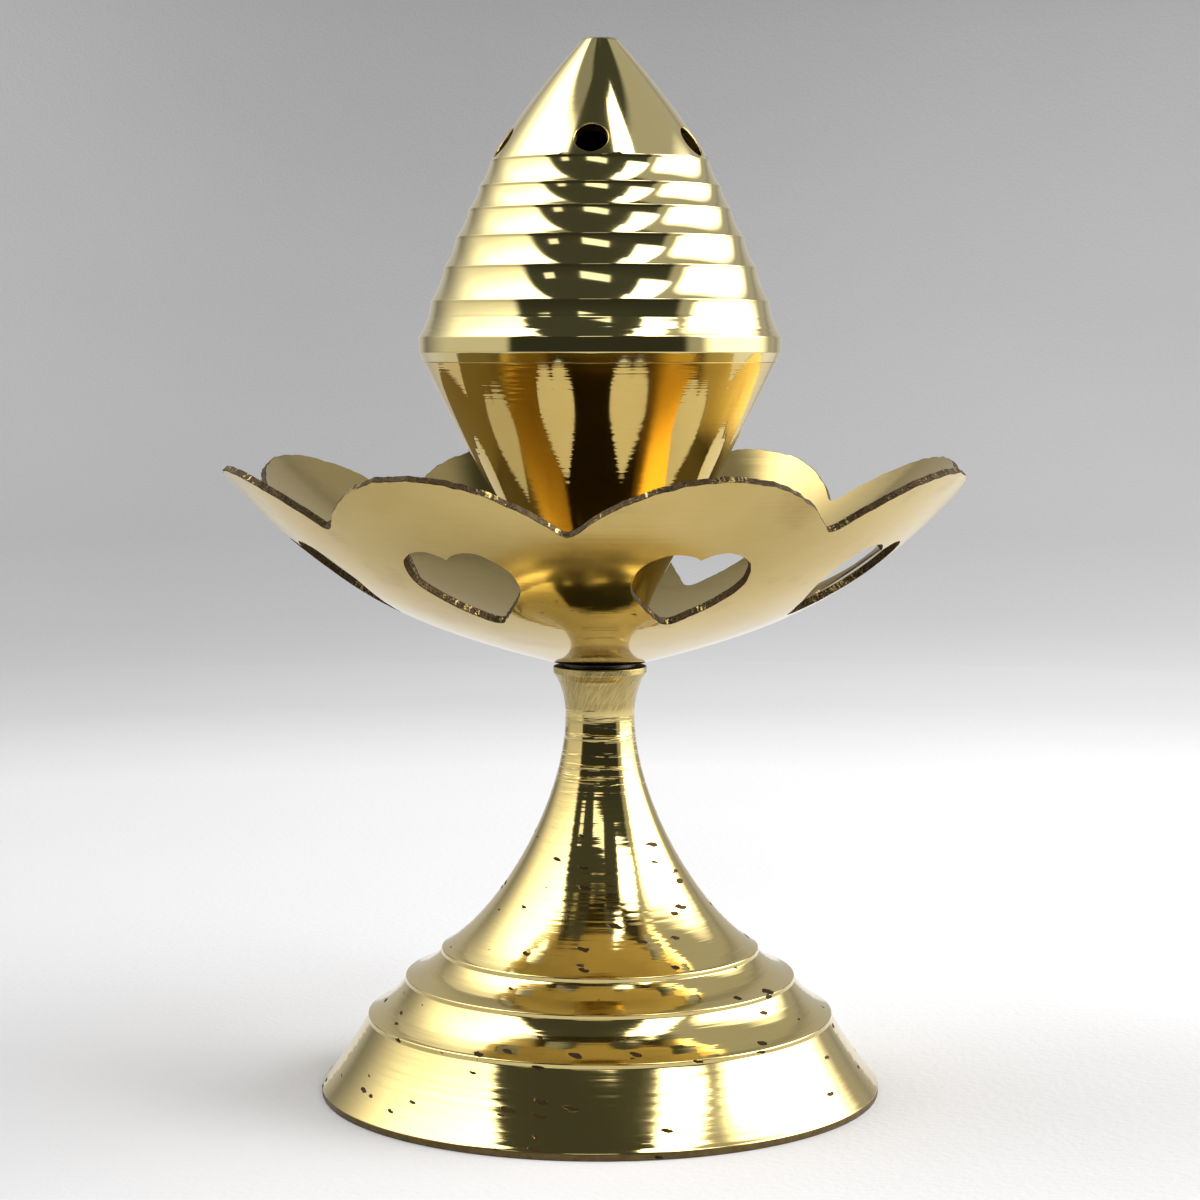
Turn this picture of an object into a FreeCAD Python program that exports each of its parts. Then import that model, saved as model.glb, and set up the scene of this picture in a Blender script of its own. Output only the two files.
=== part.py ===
import FreeCAD, Part
import math
import os

# Table censer in turned and sheet brass: a hollow pedestal, a lotus dish, a cup for the coals and a
# pierced lid, drawn together by one screw. Millimetres, +Z up, origin at the centre of the foot's
# underside. One cusp between two petals of the dish points to -Y, and so does one smoke hole.

V = FreeCAD.Vector
AXIS_BASE = V(0, 0, 0)
UP = V(0, 0, 1)

# ---- driving dimensions ----
OVERALL_HEIGHT = 130.0
FOOT_RADIUS = 34.8
FOOT_RIM_HEIGHT = 0.85
CREASES = [(29.0, 9.8), (24.3, 14.5), (19.8, 17.9)]   # foot steps, (radius, height), lowest first
LAND = 0.55                                           # upright land under each step's edge
SKIRT_SAG = 0.25                                      # how far the skirt's hollow curve leaves its chord
FOOT_COVE_SHARE = 0.07                                # depth of a foot cove as a share of its chord
WAIST_RADIUS = 4.3
WAIST_HEIGHT = 47.0
FLARE_LEAN = [(12.9, 21.8), (4.3, 36.0)]              # poles that shape the flare between foot and waist
COLLAR_RADIUS = 5.8
COLLAR_TOP = 53.1
COLLAR_LIP = 0.8                                      # upright lip at the collar's top
COLLAR_LEAN = [(4.3, 49.7), (5.1, 51.3)]              # poles that shape the sweep from waist to lip
FOOT_WALL = 1.7
HOLLOW_LEAN = [(11.2, 20.4), (2.2, 33.0)]
HOLLOW_END = (2.2, 38.5)                              # where the hollow stops inside the stem

SPACER_THICKNESS = 0.5
SPACER_RADIUS = 4.4
DISH_THICKNESS = 0.9
DISH_SEAT_RADIUS = 5.6                                # flat of the dish between the collar and the cup
DISH_CURVE = [(24.35, 58.62), (33.32, 62.61), (48.0, 79.4)]   # poles of the underside beyond the seat
DISH_STATIONS = 6                                     # places where the thickness is set off
PETALS = 8
PETAL_TIP_RADIUS = 46.9
PETAL_ARC_AT = 29.5                                   # how far out each petal's arc is centred
NOTCH_ROUNDING = 1.9                                  # between neighbouring petals
HEART_LOBE_RADIUS = 4.2
HEART_LOBE_OFFSET = 2.6
HEART_LOBE_AT = 34.0
HEART_POINT_AT = 25.0                                 # where the two flanks would meet
HEART_POINT_ROUNDING = 1.2

SEAM_HEIGHT = 90.7
SEAM_RADIUS = 21.7
CUP_WALL = 1.4
CUP_FOOT_RADIUS = 5.3
CUP_FOOT_HEIGHT = 1.4
CUP_LEAN = [(5.3, 59.0), (6.2, 61.3)]                 # poles that shape the sweep from foot to cone
CUP_NECK = (7.7, 64.1)                                # where the cone ends and the foot sweep begins
CUP_FLOOR = 61.6
CUP_FLOOR_KERB = 1.5                                  # upright wall at the bottom of the well
MOUTH_RADIUS = 19.5
MOUTH_DEPTH = 3.2

LID_RADIUS = 22.3
LID_BAND = (91.9, 93.75)                              # the upright band at the widest part
LID_STEPS = [(20.8, 98.1), (19.2, 102.2), (17.7, 105.85), (16.15, 109.25), (14.85, 112.05), (13.4, 115.25)]
LID_COVE_SHARE = 0.055
LID_LAND = 0.3
LID_WALL = 1.1
LID_CORNER_EXTRA = 0.35                               # extra metal behind the band and the shoulder
CONE_SWELL = 0.45                                     # how far the pointed top swells beyond straight
TIP_RADIUS = 2.0
TIP_METAL = 3.0                                       # solid metal left at the tip
HOLLOW_TIP_RADIUS = 1.6
HOLLOW_SWELL = 0.3
SPIGOT_CLEARANCE = 0.2
SPIGOT_DEPTH = 2.6
SPIGOT_WALL = 1.2
SMOKE_HOLES = 5
SMOKE_HOLE_RADIUS = 2.0
SMOKE_HOLE_HEIGHT = 117.2
SMOKE_DRILL_REACH = 4.0

SCREW_RADIUS = 2.0
SCREW_HOLE_RADIUS = 2.15
TAPPED_RADIUS = 2.04
TAPPED_DEPTH = 9.6
SCREW_GRIP = 8.6                                      # length of screw inside the pedestal
HEAD_RADIUS = 3.5
HEAD_HEIGHT = 2.3
HEAD_EDGE = 1.0                                       # upright edge under the domed top
HEAD_DOME = 0.5
SCREW_POINT = 0.5                                     # chamfer at the screw's end
SLOT_WIDTH = 1.0
SLOT_DEPTH = 1.1
HEAD_WASHER_RADIUS = 4.2
HEAD_WASHER_THICKNESS = 0.6

# ---- worked-out heights ----
DISH_UNDERSIDE = COLLAR_TOP + SPACER_THICKNESS
DISH_FLOOR = DISH_UNDERSIDE + DISH_THICKNESS
PETAL_STEP = 2 * math.pi / PETALS
CUT_MARGIN = 1.0                                      # how far a cutter runs past the metal


def point(radius, height):
    return V(radius, 0, height)


def line(start, end):
    return Part.LineSegment(point(*start), point(*end)).toShape()


def bowed(start, end, sag):
    """An arc from start to end that stands off its chord by sag, to the chord's left when positive."""
    chord = (end[0] - start[0], end[1] - start[1])
    length = math.hypot(*chord)
    middle = (
        (start[0] + end[0]) / 2 - chord[1] / length * sag,
        (start[1] + end[1]) / 2 + chord[0] / length * sag,
    )
    return Part.Arc(point(*start), point(*middle), point(*end)).toShape()


def bezier(*poles):
    curve = Part.BezierCurve()
    curve.setPoles([point(*pole) for pole in poles])
    return curve.toShape()


def spline(points):
    curve = Part.BSplineCurve()
    curve.interpolate([point(*place) for place in points])
    return curve


def revolved(edges):
    """A solid turned about the Z axis from a closed chain of edges."""
    face = Part.Face(Part.Wire(edges))
    return face.revolve(AXIS_BASE, UP, 360)


def drum(radius, bottom, top):
    return Part.makeCylinder(radius, top - bottom, V(0, 0, bottom))


def stepped_edges(steps, sag_share, land):
    """Coves from each step's edge up to the next, each ending in a short upright land."""
    edges = []
    for lower, upper in zip(steps, steps[1:]):
        land_foot = (upper[0], upper[1] - land)
        length = math.hypot(land_foot[0] - lower[0], land_foot[1] - lower[1])
        edges.append(bowed(lower, land_foot, sag_share * length))
        edges.append(line(land_foot, upper))
    return edges


def pedestal():
    rim_top = (FOOT_RADIUS, FOOT_RIM_HEIGHT)
    skirt_top = (CREASES[0][0], CREASES[0][1] - LAND)
    flare_end = CREASES[-1]
    waist = (WAIST_RADIUS, WAIST_HEIGHT)
    lip_foot = (COLLAR_RADIUS, COLLAR_TOP - COLLAR_LIP)
    edges = [
        line((0, 0), (FOOT_RADIUS, 0)),
        line((FOOT_RADIUS, 0), rim_top),
        bowed(rim_top, skirt_top, SKIRT_SAG),
        line(skirt_top, CREASES[0]),
    ]
    edges += stepped_edges(CREASES, FOOT_COVE_SHARE, LAND)
    edges += [
        bezier(flare_end, *FLARE_LEAN, waist),
        bezier(waist, *COLLAR_LEAN, lip_foot),
        line(lip_foot, (COLLAR_RADIUS, COLLAR_TOP)),
        line((COLLAR_RADIUS, COLLAR_TOP), (0, COLLAR_TOP)),
        line((0, COLLAR_TOP), (0, 0)),
    ]
    body = revolved(edges)
    hollow_mouth = (FOOT_RADIUS - FOOT_WALL, 0)
    hollow_skirt = (CREASES[0][0] - FOOT_WALL, CREASES[0][1] - FOOT_WALL)
    hollow_step = (CREASES[-1][0] - FOOT_WALL, CREASES[-1][1] - FOOT_WALL)
    hollow = revolved([
        line((0, 0), hollow_mouth),
        bowed(hollow_mouth, hollow_skirt, SKIRT_SAG),
        line(hollow_skirt, hollow_step),
        bezier(hollow_step, *HOLLOW_LEAN, HOLLOW_END),
        line(HOLLOW_END, (0, HOLLOW_END[1])),
        line((0, HOLLOW_END[1]), (0, 0)),
    ])
    tapped_hole = drum(TAPPED_RADIUS, COLLAR_TOP - TAPPED_DEPTH, COLLAR_TOP)
    return body.cut(hollow).cut(tapped_hole)


def dish_shell():
    """The spun bowl, before its edge and hearts are sawn."""
    under = Part.BezierCurve()
    under.setPoles([point(*pole) for pole in [(DISH_SEAT_RADIUS, DISH_UNDERSIDE)] + DISH_CURVE])
    over_points = [(DISH_SEAT_RADIUS, DISH_FLOOR)]
    for station in range(1, DISH_STATIONS + 1):
        parameter = station / DISH_STATIONS
        place = under.value(parameter)
        along = under.tangent(parameter)[0]
        over_points.append((place.x - along.z * DISH_THICKNESS, place.z + along.x * DISH_THICKNESS))
    over = spline(over_points)
    return revolved([
        line((0, DISH_UNDERSIDE), (DISH_SEAT_RADIUS, DISH_UNDERSIDE)),
        under.toShape(),
        line(DISH_CURVE[-1], over_points[-1]),
        over.toShape(),
        line(over_points[0], (0, DISH_FLOOR)),
        line((0, DISH_FLOOR), (0, DISH_UNDERSIDE)),
    ])


def plan(radius, angle):
    """A place below the dish, at a radius and an angle about the axis."""
    return V(radius * math.cos(angle), radius * math.sin(angle), DISH_UNDERSIDE - CUT_MARGIN)


def petal_outline():
    """An upright prism on the plan of the dish: an arc per petal and a rounded notch between each pair."""
    arc_radius = PETAL_TIP_RADIUS - PETAL_ARC_AT
    half_step = PETAL_STEP / 2
    centres_apart = arc_radius + NOTCH_ROUNDING
    aside = PETAL_ARC_AT * math.sin(half_step)
    notch_at = PETAL_ARC_AT * math.cos(half_step) + math.sqrt(centres_apart ** 2 - aside ** 2)

    def meeting(petal, notch):
        """Where a petal's arc runs into the rounding of the notch at that angle."""
        arc_centre = plan(PETAL_ARC_AT, petal)
        return arc_centre + (plan(notch_at, notch) - arc_centre) * (arc_radius / centres_apart)

    edges = []
    for number in range(PETALS):
        middle = petal_angle(number)
        before, after, following = middle - half_step, middle + half_step, middle + PETAL_STEP
        end = meeting(middle, after)
        tip = plan(PETAL_TIP_RADIUS, middle)
        bottom = plan(notch_at - NOTCH_ROUNDING, after)
        edges.append(Part.Arc(meeting(middle, before), tip, end).toShape())
        edges.append(Part.Arc(end, bottom, meeting(following, after)).toShape())
    return Part.Face(Part.Wire(edges)).extrude(V(0, 0, OVERALL_HEIGHT - DISH_UNDERSIDE))


def petal_angle(number):
    return -math.pi / 2 + PETAL_STEP * (number + 0.5)


def heart():
    """An upright prism of one heart, its rounded point towards the axis, along +X."""
    base = DISH_UNDERSIDE - CUT_MARGIN
    reach = math.hypot(HEART_LOBE_AT - HEART_POINT_AT, HEART_LOBE_OFFSET)
    lean = math.atan2(HEART_LOBE_OFFSET, HEART_LOBE_AT - HEART_POINT_AT)
    spread = lean + math.asin(HEART_LOBE_RADIUS / reach)
    flank_end = math.sqrt(reach ** 2 - HEART_LOBE_RADIUS ** 2)
    flank_start = HEART_POINT_ROUNDING / math.tan(spread)
    point_at = HEART_POINT_AT + HEART_POINT_ROUNDING / math.sin(spread) - HEART_POINT_ROUNDING
    cleft_at = HEART_LOBE_AT + math.sqrt(HEART_LOBE_RADIUS ** 2 - HEART_LOBE_OFFSET ** 2)
    cleft = V(cleft_at, 0, base)

    def on_flank(length, side):
        return V(HEART_POINT_AT + length * math.cos(spread), side * length * math.sin(spread), base)

    def lobe_top(side):
        slant = HEART_LOBE_RADIUS * math.sqrt(0.5)
        return V(HEART_LOBE_AT + slant, side * (HEART_LOBE_OFFSET + slant), base)

    edges = [
        Part.LineSegment(on_flank(flank_start, 1), on_flank(flank_end, 1)).toShape(),
        Part.Arc(on_flank(flank_end, 1), lobe_top(1), cleft).toShape(),
        Part.Arc(cleft, lobe_top(-1), on_flank(flank_end, -1)).toShape(),
        Part.LineSegment(on_flank(flank_end, -1), on_flank(flank_start, -1)).toShape(),
        Part.Arc(on_flank(flank_start, -1), V(point_at, 0, base), on_flank(flank_start, 1)).toShape(),
    ]
    return Part.Face(Part.Wire(edges)).extrude(V(0, 0, OVERALL_HEIGHT - base))


def lotus_dish():
    dish = dish_shell().common(petal_outline())
    for number in range(PETALS):
        cutter = heart()
        cutter.rotate(AXIS_BASE, UP, math.degrees(petal_angle(number)))
        dish = dish.cut(cutter)
    return dish.cut(drum(SCREW_HOLE_RADIUS, DISH_UNDERSIDE - CUT_MARGIN, DISH_FLOOR + CUT_MARGIN))


def cup():
    foot_top = (CUP_FOOT_RADIUS, DISH_FLOOR + CUP_FOOT_HEIGHT)
    outer = [
        line((0, DISH_FLOOR), (CUP_FOOT_RADIUS, DISH_FLOOR)),
        line((CUP_FOOT_RADIUS, DISH_FLOOR), foot_top),
        bezier(foot_top, *CUP_LEAN, CUP_NECK),
        line(CUP_NECK, (SEAM_RADIUS, SEAM_HEIGHT)),
        line((SEAM_RADIUS, SEAM_HEIGHT), (0, SEAM_HEIGHT)),
        line((0, SEAM_HEIGHT), (0, DISH_FLOOR)),
    ]
    slope = (SEAM_RADIUS - CUP_NECK[0]) / (SEAM_HEIGHT - CUP_NECK[1])
    wall_across = CUP_WALL * math.hypot(1, slope)

    def inner_radius(height):
        return CUP_NECK[0] + (height - CUP_NECK[1]) * slope - wall_across

    ledge = SEAM_HEIGHT - MOUTH_DEPTH
    kerb = CUP_FLOOR + CUP_FLOOR_KERB
    floor_radius = inner_radius(kerb)
    well = revolved([
        line((0, CUP_FLOOR), (floor_radius, CUP_FLOOR)),
        line((floor_radius, CUP_FLOOR), (floor_radius, kerb)),
        line((floor_radius, kerb), (inner_radius(ledge), ledge)),
        line((inner_radius(ledge), ledge), (MOUTH_RADIUS, ledge)),
        line((MOUTH_RADIUS, ledge), (MOUTH_RADIUS, SEAM_HEIGHT)),
        line((MOUTH_RADIUS, SEAM_HEIGHT), (0, SEAM_HEIGHT)),
        line((0, SEAM_HEIGHT), (0, CUP_FLOOR)),
    ])
    screw_hole = drum(SCREW_HOLE_RADIUS, DISH_FLOOR - CUT_MARGIN, CUP_FLOOR + CUT_MARGIN)
    return revolved(outer).cut(well).cut(screw_hole)


def lid():
    steps = [(LID_RADIUS, LID_BAND[1])] + LID_STEPS
    shoulder = LID_STEPS[-1]
    tip = (TIP_RADIUS, OVERALL_HEIGHT)
    spigot_outer = MOUTH_RADIUS - SPIGOT_CLEARANCE
    spigot_inner = spigot_outer - SPIGOT_WALL
    spigot_foot = SEAM_HEIGHT - SPIGOT_DEPTH
    outer = [
        line((0, spigot_foot), (spigot_outer, spigot_foot)),
        line((spigot_outer, spigot_foot), (spigot_outer, SEAM_HEIGHT)),
        line((spigot_outer, SEAM_HEIGHT), (SEAM_RADIUS, SEAM_HEIGHT)),
        line((SEAM_RADIUS, SEAM_HEIGHT), (LID_RADIUS, LID_BAND[0])),
        line((LID_RADIUS, LID_BAND[0]), (LID_RADIUS, LID_BAND[1])),
    ]
    outer += stepped_edges(steps, LID_COVE_SHARE, LID_LAND)
    outer += [
        bowed(shoulder, tip, -CONE_SWELL),
        line(tip, (0, OVERALL_HEIGHT)),
        line((0, OVERALL_HEIGHT), (0, spigot_foot)),
    ]
    hollow_band = (LID_RADIUS - LID_WALL - LID_CORNER_EXTRA, LID_BAND[1])
    hollow_shoulder = (shoulder[0] - LID_WALL - LID_CORNER_EXTRA, shoulder[1])
    hollow_tip = (HOLLOW_TIP_RADIUS, OVERALL_HEIGHT - TIP_METAL)
    ledge = SEAM_HEIGHT + LID_WALL
    hollow = revolved([
        line((0, spigot_foot), (spigot_inner, spigot_foot)),
        line((spigot_inner, spigot_foot), (spigot_inner, ledge)),
        line((spigot_inner, ledge), hollow_band),
        bowed(hollow_band, hollow_shoulder, -HOLLOW_SWELL),
        bowed(hollow_shoulder, hollow_tip, -HOLLOW_SWELL),
        line(hollow_tip, (0, hollow_tip[1])),
        line((0, hollow_tip[1]), (0, spigot_foot)),
    ])
    shell = revolved(outer).cut(hollow)
    for number in range(SMOKE_HOLES):
        shell = shell.cut(smoke_drill(number))
    return shell


def smoke_drill(number):
    """A drill square to the lid's cone, so it comes in from above the horizontal."""
    shoulder = LID_STEPS[-1]
    climb = math.atan2(shoulder[0] - TIP_RADIUS, OVERALL_HEIGHT - shoulder[1])
    share = (SMOKE_HOLE_HEIGHT - shoulder[1]) / (OVERALL_HEIGHT - shoulder[1])
    surface = shoulder[0] + (TIP_RADIUS - shoulder[0]) * share
    angle = -math.pi / 2 + 2 * math.pi * number / SMOKE_HOLES
    outward = V(
        math.cos(climb) * math.cos(angle),
        math.cos(climb) * math.sin(angle),
        math.sin(climb),
    )
    entry = V(surface * math.cos(angle), surface * math.sin(angle), SMOKE_HOLE_HEIGHT)
    start = entry - outward * SMOKE_DRILL_REACH
    return Part.makeCylinder(SMOKE_HOLE_RADIUS, 2 * SMOKE_DRILL_REACH, start, outward)


def seat_spacer():
    ring = drum(SPACER_RADIUS, COLLAR_TOP, DISH_UNDERSIDE)
    return ring.cut(drum(SCREW_HOLE_RADIUS, COLLAR_TOP - CUT_MARGIN, DISH_UNDERSIDE + CUT_MARGIN))


def head_washer():
    top = CUP_FLOOR + HEAD_WASHER_THICKNESS
    ring = drum(HEAD_WASHER_RADIUS, CUP_FLOOR, top)
    return ring.cut(drum(SCREW_HOLE_RADIUS, CUP_FLOOR - CUT_MARGIN, top + CUT_MARGIN))


def clamp_screw():
    head_base = CUP_FLOOR + HEAD_WASHER_THICKNESS
    dome_base = head_base + HEAD_EDGE
    head_top = head_base + HEAD_HEIGHT
    end = COLLAR_TOP - SCREW_GRIP
    profile = [
        line((0, end), (SCREW_RADIUS - SCREW_POINT, end)),
        line((SCREW_RADIUS - SCREW_POINT, end), (SCREW_RADIUS, end + SCREW_POINT)),
        line((SCREW_RADIUS, end + SCREW_POINT), (SCREW_RADIUS, head_base)),
        line((SCREW_RADIUS, head_base), (HEAD_RADIUS, head_base)),
        line((HEAD_RADIUS, head_base), (HEAD_RADIUS, dome_base)),
        bowed((HEAD_RADIUS, dome_base), (0, head_top), -HEAD_DOME),
        line((0, head_top), (0, end)),
    ]
    slot = Part.makeBox(
        2 * (HEAD_RADIUS + CUT_MARGIN),
        SLOT_WIDTH,
        SLOT_DEPTH + CUT_MARGIN,
        V(-HEAD_RADIUS - CUT_MARGIN, -SLOT_WIDTH / 2, head_top - SLOT_DEPTH),
    )
    return revolved(profile).cut(slot)


NODES = {
    "pedestal": pedestal,
    "seat_spacer": seat_spacer,
    "lotus_dish": lotus_dish,
    "cup": cup,
    "head_washer": head_washer,
    "clamp_screw": clamp_screw,
    "lid": lid,
}

os.makedirs("parts", exist_ok=True)
for name, make in NODES.items():
    shape = make()
    if len(shape.Solids) == 1:
        shape = shape.Solids[0]
    print(name, "valid", shape.isValid(), "solids", len(shape.Solids), "volume", round(shape.Volume, 1))
    shape.exportStep("parts/" + name + ".step")
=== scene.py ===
import math

import bpy
import numpy as np
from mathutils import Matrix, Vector


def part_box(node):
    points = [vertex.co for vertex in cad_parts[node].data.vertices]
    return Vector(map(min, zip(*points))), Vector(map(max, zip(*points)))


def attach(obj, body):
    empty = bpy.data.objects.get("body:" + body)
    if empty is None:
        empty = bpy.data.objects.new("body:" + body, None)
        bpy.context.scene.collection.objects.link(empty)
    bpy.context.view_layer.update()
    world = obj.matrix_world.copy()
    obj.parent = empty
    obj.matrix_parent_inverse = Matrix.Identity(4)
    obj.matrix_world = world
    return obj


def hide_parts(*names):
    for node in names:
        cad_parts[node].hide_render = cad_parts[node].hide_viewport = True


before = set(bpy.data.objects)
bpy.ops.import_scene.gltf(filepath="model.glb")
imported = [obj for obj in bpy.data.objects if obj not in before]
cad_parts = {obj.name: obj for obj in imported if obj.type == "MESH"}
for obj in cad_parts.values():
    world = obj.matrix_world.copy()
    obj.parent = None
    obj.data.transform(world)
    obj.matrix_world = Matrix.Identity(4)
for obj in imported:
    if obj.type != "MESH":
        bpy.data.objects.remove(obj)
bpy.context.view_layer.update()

# The looks of the table censer: the pedestal, dish, cup and lid are turned and sawn here again with fine
# edges, lathe rings and saw marks, each in the place of its CAD node. Profiles are in millimetres as
# (radius, height) and run anticlockwise: out along the bottom, up the outside, in over the top, down the
# inside. Meshes are in metres.

MM = 0.001
SEED = 41

# ---- sizes shared with the CAD part ----
OVERALL_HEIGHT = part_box("lid")[1].z / MM
FOOT_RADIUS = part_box("pedestal")[1].x / MM
COLLAR_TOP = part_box("pedestal")[1].z / MM
DISH_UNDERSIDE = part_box("lotus_dish")[0].z / MM
DISH_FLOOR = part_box("cup")[0].z / MM
SEAM_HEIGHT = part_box("cup")[1].z / MM
SEAM_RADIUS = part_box("cup")[1].x / MM
LID_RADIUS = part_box("lid")[1].x / MM
FOOT_RIM_HEIGHT = 0.85
CREASES = [(29.0, 9.8), (24.3, 14.5), (19.8, 17.9)]
LAND = 0.55
SKIRT_SAG = 0.25
FOOT_COVE_SHARE = 0.07
WAIST = (4.3, 47.0)
FLARE_LEAN = [(12.9, 21.8), (4.3, 36.0)]
COLLAR_RADIUS = 5.8
COLLAR_LIP = 0.8
COLLAR_LEAN = [(4.3, 49.7), (5.1, 51.3)]
FOOT_WALL = 1.7
HOLLOW_LEAN = [(11.2, 20.4), (2.2, 33.0)]
HOLLOW_END = (2.2, 38.5)
TAPPED_RADIUS = 2.04
TAPPED_DEPTH = 9.6
SCREW_HOLE_RADIUS = 2.15
DISH_THICKNESS = DISH_FLOOR - DISH_UNDERSIDE
DISH_SEAT_RADIUS = 5.6
DISH_CURVE = [(24.35, 58.62), (33.32, 62.61), (48.0, 79.4)]
PETALS = 8
PETAL_TIP_RADIUS = 46.9
PETAL_ARC_AT = 29.5
NOTCH_ROUNDING = 1.9
HEART_LOBE_RADIUS = 4.2
HEART_LOBE_OFFSET = 2.6
HEART_LOBE_AT = 34.0
HEART_POINT_AT = 25.0
HEART_POINT_ROUNDING = 1.2
HEART_CUT_LENGTH = 39.0     # about the length of a heart's edge
SAW_STRAY = 0.03            # how unevenly the saw left the sheet's edge
CUP_WALL = 1.4
CUP_FOOT_RADIUS = 5.3
CUP_FOOT_HEIGHT = 1.4
CUP_LEAN = [(5.3, 59.0), (6.2, 61.3)]
CUP_NECK = (7.7, 64.1)
CUP_BELLY = 0.2
CUP_FLOOR = 61.6
CUP_FLOOR_KERB = 1.5
MOUTH_RADIUS = 19.5
MOUTH_DEPTH = 3.2
LID_BAND = (91.9, 93.75)
LID_STEPS = [(20.8, 98.1), (19.2, 102.2), (17.7, 105.85), (16.15, 109.25), (14.85, 112.05), (13.4, 115.25)]
LID_COVE_SHARE = 0.055
LID_LAND = 0.3
LID_SCORES = (94.7, 96.05)
LID_WALL = 1.1
LID_CORNER_EXTRA = 0.35
CONE_SWELL = 0.45
TIP_RADIUS = 2.0
TIP_METAL = 3.0
HOLLOW_TIP_RADIUS = 1.6
HOLLOW_SWELL = 0.3
SPIGOT_CLEARANCE = 0.2
SPIGOT_DEPTH = 2.6
SPIGOT_WALL = 1.2
SMOKE_HOLES = 5
SMOKE_HOLE_RADIUS = 2.0
SMOKE_HOLE_HEIGHT = 117.2

# ---- fineness ----
STEP = 0.42                 # spacing of points along a turned profile
EASE_POINTS = 4             # points across a broken edge
MOST_EASED = 0.4            # the most of a run that a broken edge takes up
SHARP = 0.07                # size of a nearly sharp edge's break
CRISP = 0.14
SOFT = 0.3
COLUMNS = 260               # columns round a turned piece: a whole number from smoke hole to smoke hole


# ---- profiles ----

def straight(start, end, step=STEP):
    count = max(2, int(math.dist(start, end) / step) + 1)
    share = np.linspace(0, 1, count)[:, None]
    return np.array(start, float) * (1 - share) + np.array(end, float) * share


def walls(start, *stops, step=STEP):
    """Straight runs from corner to corner; each stop is (corner, size of the edge break there)."""
    runs = []
    for corner, ease in stops:
        runs.append((straight(start, corner, step), ease))
        start = corner
    return runs


def distances(run):
    """How far along the run each of its points is."""
    return np.concatenate([[0], np.cumsum(np.linalg.norm(np.diff(run, axis=0), axis=1))])


def unit(vectors):
    return vectors / np.linalg.norm(vectors, axis=1)[:, None]


def bowed(start, end, sag, step=STEP):
    """A run that leaves its chord by sag, to the chord's left when positive."""
    run = straight(start, end, step)
    share = np.linspace(0, 1, len(run))[:, None]
    chord = (run[-1] - run[0]) / math.dist(start, end)
    left = np.array([-chord[1], chord[0]])
    return run + left * sag * 4 * share * (1 - share)


def bezier(*poles, step=STEP):
    poles = np.array(poles, float)
    t = np.linspace(0, 1, max(3, int(distances(poles)[-1] / step) + 1))[:, None]
    u = 1 - t
    return u ** 3 * poles[0] + 3 * u * u * t * poles[1] + 3 * u * t * t * poles[2] + t ** 3 * poles[3]


def rippled(run, pitch, depth, rng):
    """The same run with faint, uneven turning ridges across it."""
    lengths = distances(run)
    along = unit(np.gradient(run, axis=0))
    inward = np.stack([-along[:, 1], along[:, 0]], axis=1)
    wave = np.zeros(len(run))
    for number in range(int(lengths[-1] / pitch)):
        middle = (number + 0.5 + rng.uniform(-0.3, 0.3)) * pitch
        size = rng.uniform(0.15, 1.0)
        wave += size * np.exp(-((lengths - middle) / (pitch * rng.uniform(0.16, 0.34))) ** 2)
    return run + inward * (wave * depth)[:, None]


def grooved(run, heights, width, depth):
    """The same run with a fine scored line at each height."""
    run = run.copy()
    for height in heights:
        run[:, 0] -= depth * np.exp(-((run[:, 1] - height) / width) ** 2)
    return run


def trimmed(run, length):
    """The run with that length taken off its end."""
    done = distances(run)
    left = done[-1] - length
    last = int(np.searchsorted(done[1:], left))
    share = (left - done[last]) / (done[last + 1] - done[last])
    end = run[last] * (1 - share) + run[last + 1] * share
    return np.vstack([run[:last + 1], end]) if share > 1e-6 else run[:last + 1]


def tangents(run):
    steps = np.diff(run, axis=0)
    lengths = np.linalg.norm(steps, axis=1)[:, None]
    slopes = steps / lengths
    inner = slopes[:-1] * lengths[1:] + slopes[1:] * lengths[:-1]
    made = unit(np.vstack([slopes[:1], inner, slopes[-1:]]))
    if len(run) > 2:
        made[0] = 2 * slopes[0] - made[1]
        made[-1] = 2 * slopes[-1] - made[-2]
    return unit(made)


def profile(runs, closed=False):
    """One line from (run, size of the edge break at its end) pairs.
    Gives its places, outward normals and length so far at each place."""
    runs = [[np.array(run, float), ease] for run, ease in runs]
    corners = []
    count = len(runs)
    for index in range(count if closed else count - 1):
        here, after = runs[index], runs[(index + 1) % count]
        corner = here[0][-1].copy()
        ease = min(here[1], MOST_EASED * min(distances(run[0])[-1] for run in (here, after)))
        if ease > 0:
            here[0] = trimmed(here[0], ease)
            after[0] = trimmed(after[0][::-1], ease)[::-1]
        corners.append((corner, ease))
    places, slopes = [], []
    for index, (run, _) in enumerate(runs):
        places.append(run)
        slopes.append(tangents(run))
        if index < len(corners) and corners[index][1] > 0:
            start, corner, end = run[-1], corners[index][0], runs[(index + 1) % count][0][0]
            t = np.linspace(0, 1, EASE_POINTS + 2)[1:-1, None]
            places.append((1 - t) ** 2 * start + 2 * (1 - t) * t * corner + t ** 2 * end)
            slopes.append((1 - t) * (corner - start) + t * (end - corner))
        elif index < len(corners):
            places[-1] = places[-1][:-1]
            slopes[-1] = slopes[-1][:-1]
    places, slopes = np.vstack(places), unit(np.vstack(slopes))
    return places, np.stack([slopes[:, 1], -slopes[:, 0]], axis=1), distances(places)


def coves(steps, share, land, ease):
    """Runs from each step's edge up to the next: a hollow cove and a short upright land."""
    runs = []
    for lower, upper in zip(steps, steps[1:]):
        foot = (upper[0], upper[1] - land)
        runs.append((bowed(lower, foot, share * math.dist(lower, foot)), SHARP))
        runs.append((straight(foot, upper), ease))
    return runs


# ---- meshes ----

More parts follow.
